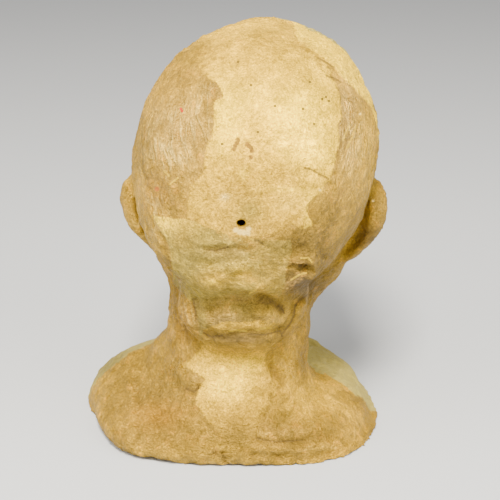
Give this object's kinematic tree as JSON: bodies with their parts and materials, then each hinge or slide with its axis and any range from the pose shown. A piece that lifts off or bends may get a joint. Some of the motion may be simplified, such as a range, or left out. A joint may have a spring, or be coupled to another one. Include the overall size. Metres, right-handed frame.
{
  "type": "papier-mache bust",
  "caption": "Hollow bust of pasted paper: bald head with a calm face and ears, neck and short rounded shoulders, open underneath.",
  "frame": {"origin": "middle of the bust's box, on the floor that the rim stands on", "axes": "+Z from the floor to the crown, -Y where the face looks, +X the bust's own left"},
  "size_m": [0.1946, 0.2014, 0.2552],
  "materials": {
    "paper": "pasted layers of ochre paper, matt, with shiny glue-soaked patches"
  },
  "bodies": {
    "root": {"bust": "paper"}
  },
  "joints": []
}
